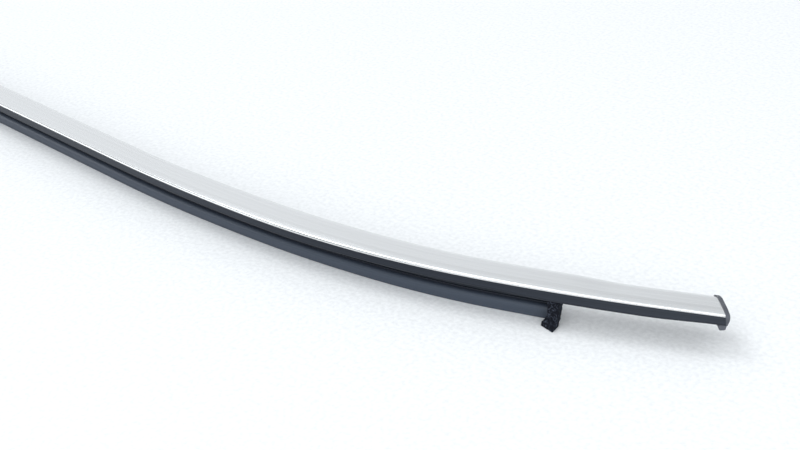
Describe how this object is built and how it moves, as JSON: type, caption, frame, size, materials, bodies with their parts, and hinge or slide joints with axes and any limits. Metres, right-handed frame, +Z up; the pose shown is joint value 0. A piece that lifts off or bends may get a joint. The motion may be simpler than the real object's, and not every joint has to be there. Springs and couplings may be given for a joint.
{
  "type": "window moulding",
  "caption": "Long bent window moulding for a vehicle door: bright metal face on a black grip channel, with a rubber lip, a sponge block and a capped oblique end.",
  "frame": {"origin": "centre of the bounding box in plan, at the level of the lip's and the far leg's lower edges, on which the moulding rests", "axes": "+X along the straight run from the plain cut end towards the capped end, +Y inboard towards the inside of the bend, +Z up out of the bright face"},
  "size_m": [1.0894, 0.0996, 0.0219],
  "materials": {
    "bright_metal": "satin bright stainless sheet with lengthwise streaks",
    "black_carrier": "black extruded plastic, low sheen",
    "lip_rubber": "smooth dark grey rubber with a soft sheen",
    "sponge": "rough open sponge rubber",
    "cap_plastic": "moulded dark grey plastic with a fine grain"
  },
  "bodies": {
    "root": {"bright_strip": "bright_metal", "carrier": "black_carrier", "seal_lip": "lip_rubber", "sponge_end_block": "sponge", "end_cap": "cap_plastic"}
  },
  "joints": []
}
